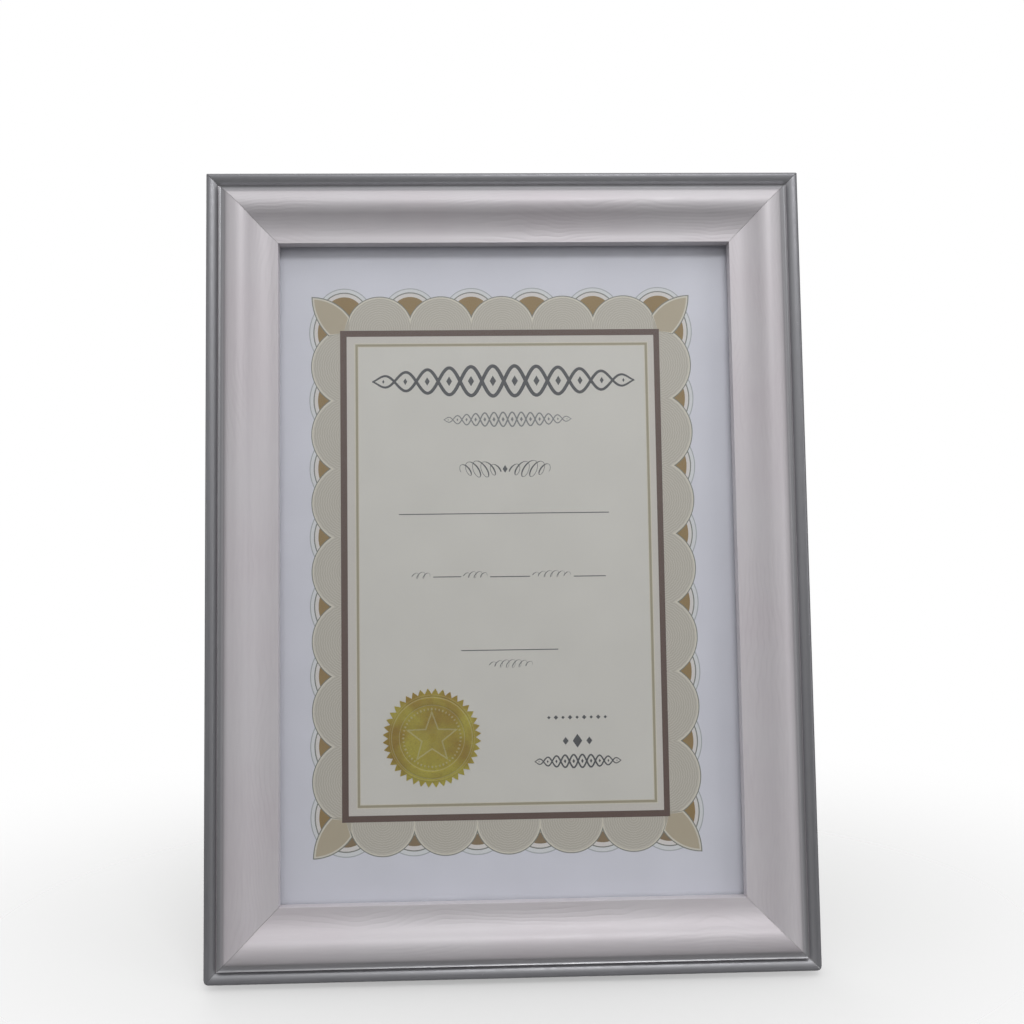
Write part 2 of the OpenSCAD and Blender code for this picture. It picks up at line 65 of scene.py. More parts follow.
OUTER_WIDTH, OUTER_HEIGHT, RAIL_WIDTH = 263.0, 350.0, 31.5
MITRE_GAP = 0.15
BOTTOM_CORNER, TOP_CORNER = 2.8, 0.8
BEAD_CREST, BEAD_ROUND, BEAD_FALL, BEAD_FALL_END = 13.0, 1.3, 5.0, 43.95
LIP_ACROSS, HUMP_FOOT = 5.8, 8.4
CREST, CREST_ACROSS = 17.8, 14.2
SIGHT_EDGE, COVE_ACROSS = 12.1, 29.0
RABBET_UP, RABBET_ACROSS = 5.6, 26
CHANNEL_OUTER, CHANNEL_INNER, CHANNEL_DEPTH = 8, 17, 4


def bend(across, up, radius, start, end, pitch=0.25):
    """Points along an arc of the section, angles in degrees."""
    steps = max(4, round(abs(math.radians(end - start)) * radius / pitch))
    turns = [math.radians(start + (end - start) * k / steps) for k in range(steps + 1)]
    return [(across + radius * math.cos(a), up + radius * math.sin(a)) for a in turns]


def stretch(start, end, pitch=0.25):
    """Points along a straight part of the section, without its start."""
    steps = max(1, round(math.dist(start, end) / pitch))
    return [(start[0] + (end[0] - start[0]) * k / steps, start[1] + (end[1] - start[1]) * k / steps)
            for k in range(1, steps + 1)]


def eased(outline, radius=0.16):
    """A closed outline of (point, zone) with its sharp corners rounded, as foil over plastic is."""
    made = []
    for k, (here, zone) in enumerate(outline):
        after = Vector(outline[(k + 1) % len(outline)][0])
        before, corner = Vector(outline[k - 1][0]), Vector(here)
        turn = abs((corner - before).angle_signed(after - corner, 0))
        if turn < math.radians(25):
            made.append((here, zone))
            continue
        reach = min(radius * math.tan(min(turn, 2.4) / 2),
                    0.45 * (corner - before).length, 0.45 * (after - corner).length)
        first = corner + (before - corner).normalized() * reach
        last = corner + (after - corner).normalized() * reach
        for share in (0.0, 0.5, 1.0):
            point = first.lerp(corner, share).lerp(corner.lerp(last, share), share)
            made.append((tuple(point), zone))
    return made


# The hump is two arcs that meet at its crest. A cove touches the inner one, and a hollow the outer.
inner_radius, outer_radius, hollow_radius = 7.6, 6.6, 1.7
cove_run, crest_rise = COVE_ACROSS - CREST_ACROSS, CREST - SIGHT_EDGE
reach = (cove_run ** 2 + crest_rise ** 2) / (2 * crest_rise)
cove_tilt = math.degrees(math.asin(cove_run / reach))
cove_radius = reach - inner_radius
foot_turn = math.acos((CREST_ACROSS - HUMP_FOOT) / outer_radius)
hollow_across = CREST_ACROSS - (outer_radius + hollow_radius) * math.cos(foot_turn)
hollow_up = CREST - outer_radius + (outer_radius + hollow_radius) * math.sin(foot_turn)
edge_turn = math.degrees(math.acos((hollow_across - LIP_ACROSS) / hollow_radius))
foot_turn = math.degrees(foot_turn)
hollow = bend(hollow_across, hollow_up, hollow_radius, 180 + edge_turn, 360 - foot_turn)
hump = (bend(CREST_ACROSS, CREST - outer_radius, outer_radius, 180 - foot_turn, 90)[1:]
        + bend(CREST_ACROSS, CREST - inner_radius, inner_radius, 90, 90 - cove_tilt)[1:])
cove = bend(COVE_ACROSS, SIGHT_EDGE + cove_radius, cove_radius, 270 - cove_tilt, 270)[1:]
BEAD, PEARL, PLASTIC = range(3)
bead_line = ([(0, 0)] + stretch((0, 0), (0, BEAD_CREST - BEAD_ROUND), 3)
             + bend(BEAD_ROUND, BEAD_CREST - BEAD_ROUND, BEAD_ROUND, 180, 90)[1:]
             + bend(BEAD_ROUND, BEAD_CREST - BEAD_FALL, BEAD_FALL, 90, BEAD_FALL_END)[1:])
quirk = [(4.9, 11.05), (5.1, 10.86), (5.35, 10.8), (5.6, 10.86), (LIP_ACROSS, 11.05)]
pearl_line = (quirk + hollow + hump + cove + stretch(cove[-1], (RAIL_WIDTH, SIGHT_EDGE))
              + stretch((RAIL_WIDTH, SIGHT_EDGE), (RAIL_WIDTH, RABBET_UP), 1))
plastic_line = [(RABBET_ACROSS, RABBET_UP), (RABBET_ACROSS, 0), (CHANNEL_INNER, 0),
                (CHANNEL_INNER, CHANNEL_DEPTH), (CHANNEL_OUTER, CHANNEL_DEPTH), (CHANNEL_OUTER, 0)]
section = eased([(p, BEAD) for p in bead_line] + [(p, PEARL) for p in pearl_line]
                + [(p, PLASTIC) for p in plastic_line])


GRAIN_PITCH, GRAIN_DEPTH, GRAIN_FADE = 1.75, 0.05, 0.8


def grain_depth(along, across, seed):
    """How deep the pressed grain is at a place along and across a length, from 0 to 1."""
    sway = noise.noise(Vector((along / 42, across / 20, seed)))
    ripple = noise.noise(Vector((along / 8, across / 12, seed + 40)))
    phase = ((across + 7.5 * sway + 0.9 * ripple) / GRAIN_PITCH) % 1
    line = max(0.0, 1 - abs(phase - 0.5) / 0.2)
    patch = 0.35 + 2.4 * noise.noise(Vector((along / 55, across / 8, seed + 80)))
    return line * line * (3 - 2 * line) * min(1.0, max(0.0, patch))


def row_places(length):
    """Shares along a length at which its section is repeated, close together at the mitres."""
    near = [0, 0.15, 0.3, 0.5, 0.7, 0.95, 1.25, 1.6, 2.0, 2.5, 3.1, 3.9, 4.9]
    tip = (length - MITRE_GAP) / 2
    steps = round((tip - near[-1]) / 1.2)
    first = [-1 + d / tip for d in near]
    middle = [first[-1] * (1 - k / steps) for k in range(1, steps + 1)]
    half = first + middle
    return half + [-p for p in reversed(half[:-1])]


def rounded_corner(from_end, across, radius):
    """Draws a point near the frame's corner in to the round that the corner is sanded to."""
    if radius <= 0 or from_end >= radius or across >= radius:
        return from_end, across
    far = math.hypot(radius - from_end, radius - across)
    if far <= radius:
        return from_end, across
    return (radius - (radius - from_end) * radius / far, radius - (radius - across) * radius / far)


def bench_piece(name, points, faces, finishes, slots=None, body="frame", crease=32):
    """A piece made on the bench, points in millimetres, stood up with the frame on its body."""
    mesh = bpy.data.meshes.new(name)
    mesh.from_pydata([(x * MM, y * MM, z * MM) for x, y, z in points], [], faces)
    for finish in finishes:
        mesh.materials.append(finish)
    if slots is not None:
        mesh.polygons.foreach_set("material_index", slots)
    mesh.polygons.foreach_set("use_smooth", [True] * len(mesh.polygons))
    mesh.set_sharp_from_angle(angle=math.radians(crease))
    mesh.update()
    piece = bpy.data.objects.new(name, mesh)
    bpy.context.scene.collection.objects.link(piece)
    piece.matrix_world = bench
    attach(piece, body)
    return piece


def mitred_rail(name, length, place, corners, seed, finishes):
    """One length of moulding: place turns (along, across) into a point of the bench."""
    count = len(section)
    outline = [Vector(p) for p, _ in section]
    runs, run = [], 0.0
    for k in range(count):
        runs.append(run)
        run += (outline[(k + 1) % count] - outline[k]).length
    outward = []
    for k in range(count):
        way = outline[(k + 1) % count] - outline[k - 1]
        outward.append(Vector((-way.y, way.x)).normalized())
    fade = []
    for k, (point, zone) in enumerate(section):
        edge = min(point[0] - HUMP_FOOT, RAIL_WIDTH - point[0]) / GRAIN_FADE
        grained = zone == PEARL and point[1] > SIGHT_EDGE - 0.1
        fade.append(min(1.0, max(0.0, edge)) if grained else 0.0)
    tip = (length - MITRE_GAP) / 2
    points, grains, spots = [], [], []
    shares = row_places(length)
    for share in shares:
        corner = corners[share > 0]
        for k in range(count):
            across, up = outline[k]
            along = share * (tip - across)
            depth = fade[k] * grain_depth(along, runs[k], seed) if fade[k] else 0.0
            across -= outward[k].x * depth * GRAIN_DEPTH
            up -= outward[k].y * depth * GRAIN_DEPTH
            from_end, across = rounded_corner(length / 2 - abs(along), across, corner)
            along = math.copysign(length / 2 - from_end, along) if share else 0.0
            points.append((*place(along, across), up))
            grains.append(depth)
            spots.extend((along * MM, runs[k] * MM, seed))
    faces, slots = [], []
    for row in range(len(shares) - 1):
        for k in range(count):
            after = (k + 1) % count
            faces.append((row * count + k, (row + 1) * count + k,
                          (row + 1) * count + after, row * count + after))
            slots.append(section[k][1])
    last = (len(shares) - 1) * count
    faces += [tuple(range(count)), tuple(last + k for k in reversed(range(count)))]
    slots += [PLASTIC, PLASTIC]
    rail = bench_piece(name, points, faces, finishes, slots, crease=28)
    rail.data.attributes.new("run", "FLOAT_VECTOR", "POINT").data.foreach_set("vector", spots)
    rail.data.attributes.new("grain", "FLOAT", "POINT").data.foreach_set("value", grains)
    return rail


def new_finish(name, colour, roughness, **plain):
    """A finish and its shader; plain holds further sockets of the shader, with _ for a space."""
    made = bpy.data.materials.new(name)
    made.use_nodes = True
    shader = made.node_tree.nodes["Principled BSDF"]
    shader.inputs["Base Color"].default_value = (*colour, 1)
    shader.inputs["Roughness"].default_value = roughness
    for socket, value in plain.items():
        shader.inputs[socket.replace("_", " ")].default_value = value
    return made, shader


def add(finish, kind, inputs, out=0, **settings):
    """Adds a node to a finish and gives its output; inputs hold plain values or other outputs."""
    tree = finish.node_tree
    node = tree.nodes.new("ShaderNode" + kind)
    for key, value in settings.items():
        setattr(node, key, value)
    for key, value in inputs.items():
        if isinstance(value, bpy.types.NodeSocket):
            tree.links.new(value, node.inputs[key])
        else:
            node.inputs[key].default_value = value
    return node.outputs[out]


def blended(finish, share, first, second):
    """Mixes two colours, or colour outputs, by a share."""
    return add(finish, "Mix", {0: share, 6: first, 7: second}, out=2, data_type="RGBA")


def ranged(finish, value, low, high, to_low, to_high):
    """Maps a value from one range to another, held at both ends."""
    return add(finish, "MapRange", {"Value": value, "From Min": low, "From Max": high,
                                    "To Min": to_low, "To Max": to_high})


def bumped(finish, shader, height, distance, strength=1.0):
    """Raises a height, 0 to 1, to a bump of a distance in metres."""
    normal = add(finish, "Bump", {"Height": height, "Distance": distance, "Strength": strength})
    finish.node_tree.links.new(normal, shader.inputs["Normal"])


def linked(finish, output, shader, socket):
    """Feeds an output into one of the shader's sockets."""
    finish.node_tree.links.new(output, shader.inputs[socket])


# Where the finish changes, in metres along the section from the back of the outer edge.
FALL_RUN, WALL_RUN = (0.0146, 0.0166), (0.0195, 0.0215)
LIP_RUN, HOLLOW_RUN = (0.0227, 0.0231), (0.023, 0.027)

pearl_foil, shader = new_finish("pearl_foil", (0.6, 0.57, 0.6), 0.5, Metallic=0.2,
                                Specular_IOR_Level=0.5)
run = add(pearl_foil, "Attribute", {}, out=1, attribute_name="run")
pressed = add(pearl_foil, "Attribute", {}, out=2, attribute_name="grain")
stretched = add(pearl_foil, "Mapping", {0: run, 3: (0.1, 1, 1)})
cloud = add(pearl_foil, "TexNoise", {"Vector": run, "Scale": 22, "Detail": 2})
streak = add(pearl_foil, "TexNoise", {"Vector": stretched, "Scale": 900, "Detail": 5, "Roughness": 0.6})
sheen = blended(pearl_foil, ranged(pearl_foil, cloud, 0.35, 0.65, 0, 1),
                (0.585, 0.545, 0.578, 1), (0.605, 0.58, 0.607, 1))
worn = blended(pearl_foil, ranged(pearl_foil, streak, 0.3, 0.75, 0, 0.5), sheen, (0.66, 0.63, 0.65, 1))
lined = blended(pearl_foil, ranged(pearl_foil, pressed, 0, 1, 0, 0.15), worn, (0.45, 0.42, 0.44, 1))
inwards = add(pearl_foil, "SeparateXYZ", {0: run}, out=1)
toner = add(pearl_foil, "Math", {0: ranged(pearl_foil, inwards, *WALL_RUN, 0.1, 1),
                                 1: ranged(pearl_foil, inwards, *HOLLOW_RUN, 1, 0)},
            operation="MULTIPLY")
lip = add(pearl_foil, "Math", {0: toner, 1: ranged(pearl_foil, inwards, *LIP_RUN, 1, 0)},
          operation="MULTIPLY")
toned = blended(pearl_foil, toner, lined, (0.24, 0.24, 0.255, 1))
linked(pearl_foil, blended(pearl_foil, lip, toned, (0.34, 0.34, 0.355, 1)), shader, "Base Color")
linked(pearl_foil, ranged(pearl_foil, lip, 0, 1, 0.2, 0.8), shader, "Metallic")
satin = ranged(pearl_foil, streak, 0.3, 0.7, 0.44, 0.56)
smoothed = add(pearl_foil, "Math", {0: lip, 1: -0.12, 2: satin}, operation="MULTIPLY_ADD")
linked(pearl_foil, smoothed, shader, "Roughness")
bumped(pearl_foil, shader, streak, 0.00003, 0.5)

gunmetal_foil, shader = new_finish("gunmetal_foil", (0.2, 0.2, 0.215), 0.42, Metallic=0.6)
run = add(gunmetal_foil, "Attribute", {}, out=1, attribute_name="run")
stretched = add(gunmetal_foil, "Mapping", {0: run, 3: (0.06, 1, 1)})
streak = add(gunmetal_foil, "TexNoise", {"Vector": stretched, "Scale": 1400, "Detail": 4})
scuff = add(gunmetal_foil, "TexNoise", {"Vector": run, "Scale": 260, "Detail": 6, "Roughness": 0.7})
tone = blended(gunmetal_foil, streak, (0.2, 0.2, 0.215, 1), (0.28, 0.28, 0.295, 1))
nicked = blended(gunmetal_foil, ranged(gunmetal_foil, scuff, 0.66, 0.72, 0, 0.7), tone,
                 (0.5, 0.5, 0.52, 1))
inwards = add(gunmetal_foil, "SeparateXYZ", {0: run}, out=1)
# The bead's inner fall is painted lighter towards the quirk: a painted highlight, with a little rub wear
# on that edge.
rubbed_and_highlit = blended(gunmetal_foil, ranged(gunmetal_foil, inwards, *FALL_RUN, 0, 0.65), nicked,
                 (0.42, 0.42, 0.44, 1))
linked(gunmetal_foil, rubbed_and_highlit, shader, "Base Color")
linked(gunmetal_foil, ranged(gunmetal_foil, scuff, 0.3, 0.7, 0.36, 0.5), shader, "Roughness")
bumped(gunmetal_foil, shader, streak, 0.00002, 0.5)

bare_plastic, shader = new_finish("bare_plastic", (0.42, 0.4, 0.39), 0.62)
run = add(bare_plastic, "Attribute", {}, out=1, attribute_name="run")
stretched = add(bare_plastic, "Mapping", {0: run, 3: (0.02, 1, 1)})
draw_lines = add(bare_plastic, "TexNoise", {"Vector": stretched, "Scale": 1600, "Detail": 4})
pores = add(bare_plastic, "TexNoise", {"Vector": run, "Scale": 900, "Detail": 3})
tone = blended(bare_plastic, draw_lines, (0.36, 0.345, 0.335, 1), (0.48, 0.46, 0.45, 1))
linked(bare_plastic, blended(bare_plastic, ranged(bare_plastic, pores, 0.62, 0.7, 0, 0.5), tone,
                             (0.22, 0.21, 0.2, 1)), shader, "Base Color")
bumped(bare_plastic, shader, draw_lines, 0.00006)

RAILS = {
    "bottom": (OUTER_WIDTH, lambda t, u: (t, u), (BOTTOM_CORNER, BOTTOM_CORNER)),
    "right": (OUTER_HEIGHT, lambda t, u: (OUTER_WIDTH / 2 - u, OUTER_HEIGHT / 2 + t),
              (BOTTOM_CORNER, TOP_CORNER)),
    "top": (OUTER_WIDTH, lambda t, u: (-t, OUTER_HEIGHT - u), (TOP_CORNER, TOP_CORNER)),
    "left": (OUTER_HEIGHT, lambda t, u: (u - OUTER_WIDTH / 2, OUTER_HEIGHT / 2 - t),
             (TOP_CORNER, BOTTOM_CORNER)),
}
for seed, (side, (length, place, corners)) in enumerate(RAILS.items()):
    rail = mitred_rail("moulding_" + side, length, place, corners, 3.7 * seed + 1.3,
                       [gunmetal_foil, pearl_foil, bare_plastic])
    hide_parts("rail_" + side)

# The certificate is one printed sheet of A4 paper, held flat between the glass and the back: an
# engraved border of scallops and leaves round a cream field with pen ornament. The ornament is
# printed ink, so the face is one flat sheet cut up into inks.
SHEET_WIDTH, SHEET_FOOT, SHEET_HEAD = 210.0, 26.0, 323.0
SHEET_BACK, SHEET_FACE = 3.3, 3.42
PRINT_AT = (-1.8, 173.1)
BROWN_HALF = (71.4, 108.0)
LEAF_TIP, LEAF_ARCS, LEAF_ROOTS = (84.6, 123.4), (20.6, 24.8), (146, -46)
shapes = []


def printed(ink, outline):
    """Prints an outline over what is printed already; points are from the print's middle."""
    area = sum(a[0] * b[1] - b[0] * a[1] for a, b in zip(outline, outline[1:] + outline[:1]))
    shapes.append((ink, outline if area > 0 else outline[::-1]))


def printed_box(ink, half_width, half_height, across=0.0, up=0.0):
    """Prints a filled box about a place."""
    left, right, low, high = across - half_width, across + half_width, up - half_height, up + half_height
    printed(ink, [(left, low), (right, low), (right, high), (left, high)])


def scallop(radius, centre, half_width, foot):
    """A disc's outer part: straight at its sides and cut off at its foot, out along +Y."""
    rise = math.degrees(math.acos(min(1.0, half_width / radius)))
    cap = bend(0, centre, radius, rise, 180 - rise, 0.6)
    return [(half_width, foot), *cap, (-half_width, foot)]


def ring_of(radius, centre):
    """A whole circle, its centre out along +Y."""
    return bend(0, centre, radius, 0, 360, 0.6)[:-1]


def meeting(first, first_radius, second, second_radius):
    """The outer one of the two points where two circles meet."""
    a, b = Vector(first), Vector(second)
    apart = (b - a).length
    along = (first_radius ** 2 - second_radius ** 2 + apart ** 2) / (2 * apart)
    off = math.sqrt(first_radius ** 2 - along ** 2)
    way = (b - a) / apart
    base = a + way * along
    return max((base + off * Vector((-way.y, way.x)), base - off * Vector((-way.y, way.x))), key=sum)


def leaf(inset):
    """A corner leaf between two arcs that meet at its tip, for the upper right corner."""
    upper, upper_radius = (LEAF_TIP[0], LEAF_TIP[1] - LEAF_ARCS[0]), LEAF_ARCS[0] - inset
    outer, outer_radius = (LEAF_TIP[0] - LEAF_ARCS[1], LEAF_TIP[1]), LEAF_ARCS[1] - inset
    tip = meeting(upper, upper_radius, outer, outer_radius)
    upper_start = math.degrees(math.atan2(tip.y - upper[1], tip.x - upper[0]))
    outer_start = math.degrees(math.atan2(tip.y - outer[1], tip.x - outer[0]))
    top_arc = bend(*upper, upper_radius, upper_start, LEAF_ROOTS[0], 0.6)
    side_arc = bend(*outer, outer_radius, outer_start, LEAF_ROOTS[1], 0.6)
    return top_arc + [(BROWN_HALF[0] - 1, BROWN_HALF[1] - 1)] + side_arc[::-1][:-1]


def leaf_side(x, y):
    """1 on a corner leaf's row side and -1 on its column side, for the border's four corners."""
    rise = (abs(y) - BROWN_HALF[1]) * (LEAF_TIP[0] - BROWN_HALF[0])
    return 1 if rise > (abs(x) - BROWN_HALF[0]) * (LEAF_TIP[1] - BROWN_HALF[1]) else -1


ROW = {"count": 5, "side": 1, "pitch": 27.3, "shift": 0.2, "foot": BROWN_HALF[1] - 1, "spread": 1.03,
       "ink": "scallop_rows", "centre": 108.55, "radius": 14.85}
COLUMN = {"count": 7, "side": -1, "pitch": 30.4, "shift": 0.6, "foot": BROWN_HALF[0] - 1, "spread": 1.0,
          "ink": "scallop_columns", "centre": 66.5, "radius": 18.4,
          "gap": 66.5, "rings": (19.15, 17.35, 15.35), "umber": "umber"}
ROWS = [
    {**ROW, "gap": 114.5, "rings": (12.6, 10.8, 8.7), "umber": "umber", "place": lambda a, o: (a, o)},
    {**ROW, "radius": 14.45, "gap": 108.4, "rings": (14.5, 12.45, 10.2), "umber": "dull_umber",
     "place": lambda a, o: (a, -o)},
    {**COLUMN, "place": lambda a, o: (-o, a)},
    {**COLUMN, "place": lambda a, o: (o, a)},
]
for ink, ring, inset in (("faint_line", 0, 0), ("pale_ring", 0, 0.4), ("dark_line", 1, 0),
                         ("white_band", 1, 0.5), ("umber", 2, 0)):
    for row in ROWS:
        for k in range(row["count"] + 1):
            across = (k - row["count"] / 2) * row["pitch"]
            at_leaf = k in (0, row["count"])
            across = row["shift"] + across * (row["spread"] if at_leaf else 1)
            circle = [row["place"](across + a, o)
                      for a, o in ring_of(row["rings"][ring] - inset, row["gap"])]
            if at_leaf:
                circle = [point for point in circle if leaf_side(*point) == row["side"]]
            printed(row.get(ink, ink), circle)
printed_box("tan", 75.6, 114.0)
for row in ROWS:
    for ink, inset in (("dark_line", 0), ("pale_line", 0.4), (row["ink"], 1.05)):
        for k in range(row["count"]):
            across = row["shift"] + (k - (row["count"] - 1) / 2) * row["pitch"]
            cap = scallop(row["radius"] - inset, row["centre"], row["pitch"] / 2, row["foot"])
            printed(ink, [row["place"](across + a, o) for a, o in cap])
for ink, inset in (("dark_line", 0), ("pale_line", 0.45), ("leaf_tan", 1.15)):
    for x_side in (-1, 1):
        for y_side in (-1, 1):
            printed(ink, [(x_side * x, y_side * y) for x, y in leaf(inset)])
for ink, inset, middle in (("brown", 0, -0.6), ("pale_cream", 2.75, -0.45), ("pale_line", 5.7, 0),
                           ("old_gold", 6.15, 0), ("pale_line", 7.25, 0), ("cream", 7.6, 0)):
    printed_box(ink, BROWN_HALF[0] - inset, BROWN_HALF[1] - inset, middle)


def stroke(line, widths):
    """Outline of a pen stroke along a line, with a width at each point."""
    left, right = [], []
    for k, here in enumerate(line):
        before, after = line[max(0, k - 1)], line[min(len(line) - 1, k + 1)]
        way = (Vector(after) - Vector(before)).normalized()
        side = Vector((-way.y, way.x)) * widths[k] / 2
        left.append(tuple(Vector(here) + side))
        right.append(tuple(Vector(here) - side))
    return left + right[::-1]


def lozenge(ink, x, y, width, height):
    printed(ink, [(x + width / 2, y), (x, y + height / 2), (x - width / 2, y), (x, y - height / 2)])


def braid(ink, x, y, length, swing, waves, width):
    """Two strokes that cross as a flat braid, low at both ends, with a lozenge in each eye."""
    steps = 26 * waves
    for turn in (0, 1):
        line, widths = [], []
        for k in range(steps + 1):
            share = k / steps
            swell = math.sin(math.pi * share) ** 0.5
            line.append((x + (share - 0.5) * length,
                         y + swing * swell * math.sin(math.pi * (2 * waves * share + turn))))
            widths.append(width * (0.35 + 0.65 * swell))
        printed(ink, stroke(line, widths))
    for k in range(2 * waves):
        share = (k + 0.5) / (2 * waves)
        tall = swing * math.sin(math.pi * share) ** 0.5
        lozenge(ink, x + (share - 0.5) * length, y, 0.42 * tall, 0.72 * tall)


def pen_loops(ink, x, y, length, height, loops, width, side=1):
    """A penman's run of slanting loops that swells and dies away, thick on its down strokes."""
    line, widths = [], []
    for k in range(24 * loops + 1):
        share, turn = k / (24 * loops), math.tau * k / 24
        swell = math.sin(math.pi * (0.08 + 0.84 * share)) ** 0.8
        lift = -height / 2 * swell * math.cos(turn)
        sweep = length * (share - 0.5) - 0.3 * height * swell * math.sin(turn) + 0.4 * lift
        line.append((x + side * sweep, y + lift))
        widths.append(width * (0.35 + 0.65 * max(0.0, math.sin(turn))))
    for k in range(24 * loops):
        printed(ink, stroke(line[k:k + 2], widths[k:k + 2]))


braid("slate", 0.7, 84.9, 117, 6.8, 6, 1.6)
braid("grey_line", 2.2, 67.6, 57, 3.2, 7, 0.65)
for side in (-1, 1):
    pen_loops("slate", 0.75 + side * 11.2, 45.4, 17.5, 7.4, 5, 0.62, side)
lozenge("slate", 0.75, 45.4, 2.2, 3.4)
PEN_RULE = 0.4
for x, y, length in ((0.1, 25.6, 93.1), (-25.4, -2.2, 12.3), (2.3, -2.4, 17.6), (37.6, -2.6, 14.2),
                     (1.7, -34.6, 42.7)):
    printed_box("slate", length / 2, PEN_RULE / 2, x, y)
for x, y, length, height, loops in ((-36.8, -1.4, 8, 3.0, 3), (-12.9, -1.4, 10.5, 3.0, 4),
                                    (20.8, -1.4, 17, 3.0, 6), (2.3, -40.6, 19, 3.6, 7)):
    pen_loops("slate", x, y, length, height, loops, 0.34)
for step in range(-4, 5):
    lozenge("slate", 30.8 + 3.1 * step, -64.4, 1.5 + 0.5 * (step % 2), 1.5 + 0.5 * (step % 2))
for step in (-1, 0, 1):
    lozenge("slate", 30.8 + 5.2 * step, -74.6, 4.2 - 1.6 * abs(step), 6.0 - 2.6 * abs(step))
braid("slate", 30.9, -83.4, 38, 2.8, 5, 0.75)


def paper_finish(name, colour, roughness=0.5):
    """Ink on coated paper: its colour a little uneven, with the paper's faint tooth under it."""
    finish, shader = new_finish(name, colour, roughness, Specular_IOR_Level=0.35)
    place = add(finish, "TexCoord", {}, out=3)
    tooth = add(finish, "TexNoise", {"Vector": place, "Scale": 2600, "Detail": 3})
    cloud = add(finish, "TexNoise", {"Vector": place, "Scale": 40, "Detail": 3})
    shade = tuple(0.93 * c for c in colour)
    tone = blended(finish, ranged(finish, cloud, 0.3, 0.7, 0, 0.6), (*colour, 1), (*shade, 1))
    linked(finish, blended(finish, ranged(finish, tooth, 0.55, 0.75, 0, 0.35), tone, (*shade, 1)),
           shader, "Base Color")
    bumped(finish, shader, tooth, 0.00001, 0.4)
    return finish


def engraved_finish(name, ground, line_colour, row, axis):
    """A scallop's ink: fine wavy rings about each scallop's middle, on a tan ground."""
    finish, shader = new_finish(name, ground, 0.5, Specular_IOR_Level=0.35)
    place = add(finish, "Mapping", {0: add(finish, "TexCoord", {}, out=3),
                                    1: (-PRINT_AT[0] * MM, -PRINT_AT[1] * MM, 0)})
    split = [add(finish, "SeparateXYZ", {0: place}, out=k) for k in range(2)]
    high, low = (row["shift"] + side * row["pitch"] / 2 for side in (1, -1))
    wrapped = add(finish, "Math", {0: split[axis], 1: high * MM, 2: low * MM}, operation="WRAP")
    across = add(finish, "Math", {0: wrapped, 1: row["shift"] * MM}, operation="SUBTRACT")
    out = add(finish, "Math", {0: add(finish, "Math", {0: split[1 - axis]}, operation="ABSOLUTE"),
                               1: row["centre"] * MM}, operation="SUBTRACT")
    radius = add(finish, "VectorMath", {0: add(finish, "CombineXYZ", {0: across, 1: out})}, out=1,
                 operation="LENGTH")
    turn = add(finish, "Math", {0: out, 1: across}, operation="ARCTAN2")
    wave = add(finish, "Math", {0: add(finish, "Math", {0: turn, 1: 30.0}, operation="MULTIPLY")},
               operation="SINE")
    wavy = add(finish, "Math", {0: wave, 1: 0.00014, 2: radius}, operation="MULTIPLY_ADD")
    saw = add(finish, "Math", {0: wavy, 1: 0.00052}, operation="PINGPONG")
    fine = ranged(finish, saw, 0.0002, 0.00034, 0, 1)
    tooth = add(finish, "TexNoise", {"Vector": place, "Scale": 2600, "Detail": 3})
    tone = blended(finish, fine, (*ground, 1), (*line_colour, 1))
    linked(finish, blended(finish, ranged(finish, tooth, 0.5, 0.75, 0, 0.3), tone,
                           (*[0.85 * c for c in ground], 1)), shader, "Base Color")
    bumped(finish, shader, tooth, 0.00001, 0.4)
    return finish


INKS = {
    "paper": (0.83, 0.82, 0.91), "faint_line": (0.47, 0.48, 0.51), "pale_ring": (0.83, 0.83, 0.86),
    "white_band": (0.85, 0.80, 0.79), "dark_line": (0.26, 0.26, 0.235), "umber": (0.36, 0.24, 0.10),
    "dull_umber": (0.31, 0.22, 0.13), "tan": (0.56, 0.51, 0.43), "pale_line": (0.78, 0.73, 0.64),
    "leaf_tan": (0.56, 0.48, 0.36), "brown": (0.148, 0.093, 0.079), "pale_cream": (0.73, 0.685, 0.645),
    "old_gold": (0.44, 0.39, 0.285), "cream": (0.78, 0.75, 0.71), "slate": (0.10, 0.10, 0.11),
    "grey_line": (0.26, 0.26, 0.27),
}
finishes = {ink: paper_finish("print_" + ink, colour) for ink, colour in INKS.items()}
for axis, row in enumerate((ROW, COLUMN)):
    finishes[row["ink"]] = engraved_finish("print_" + row["ink"], (0.565, 0.52, 0.455),
                                           (0.665, 0.625, 0.565), row, axis)
ink_names = list(finishes)

left, right = -SHEET_WIDTH / 2 - PRINT_AT[0], SHEET_WIDTH / 2 - PRINT_AT[0]
foot, head = SHEET_FOOT - PRINT_AT[1], SHEET_HEAD - PRINT_AT[1]
shapes.insert(0, ("paper", [(left, foot), (right, foot), (right, head), (left, head)]))
spots, outlines = [], []
for _, outline in shapes:
    outlines.append(list(range(len(spots), len(spots) + len(outline))))
    spots += outline
cut = geometry.delaunay_2d_cdt([Vector(p) for p in spots], [], outlines, 0, 1e-4, True)
points = [(p.x + PRINT_AT[0], p.y + PRINT_AT[1], SHEET_FACE) for p in cut[0]]
faces = [tuple(f) for f in cut[2]]
slots = [ink_names.index(shapes[max(inside)][0]) for inside in cut[5]]
corners = []
for x, y in ((left, foot), (right, foot), (right, head), (left, head)):
    place = (x + PRINT_AT[0], y + PRINT_AT[1])
    corners.append(min(range(len(cut[0])), key=lambda k: math.dist(points[k][:2], place)))
    points.append((*place, SHEET_BACK))
low = len(points) - 4
faces.append((low + 3, low + 2, low + 1, low))
for k in range(4):
    faces.append((corners[k], low + k, low + (k + 1) % 4, corners[(k + 1) % 4]))
slots += [ink_names.index("paper")] * 5
sheet = bench_piece("certificate_sheet", points, faces, list(finishes.values()), slots)
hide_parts("insert_sheet")
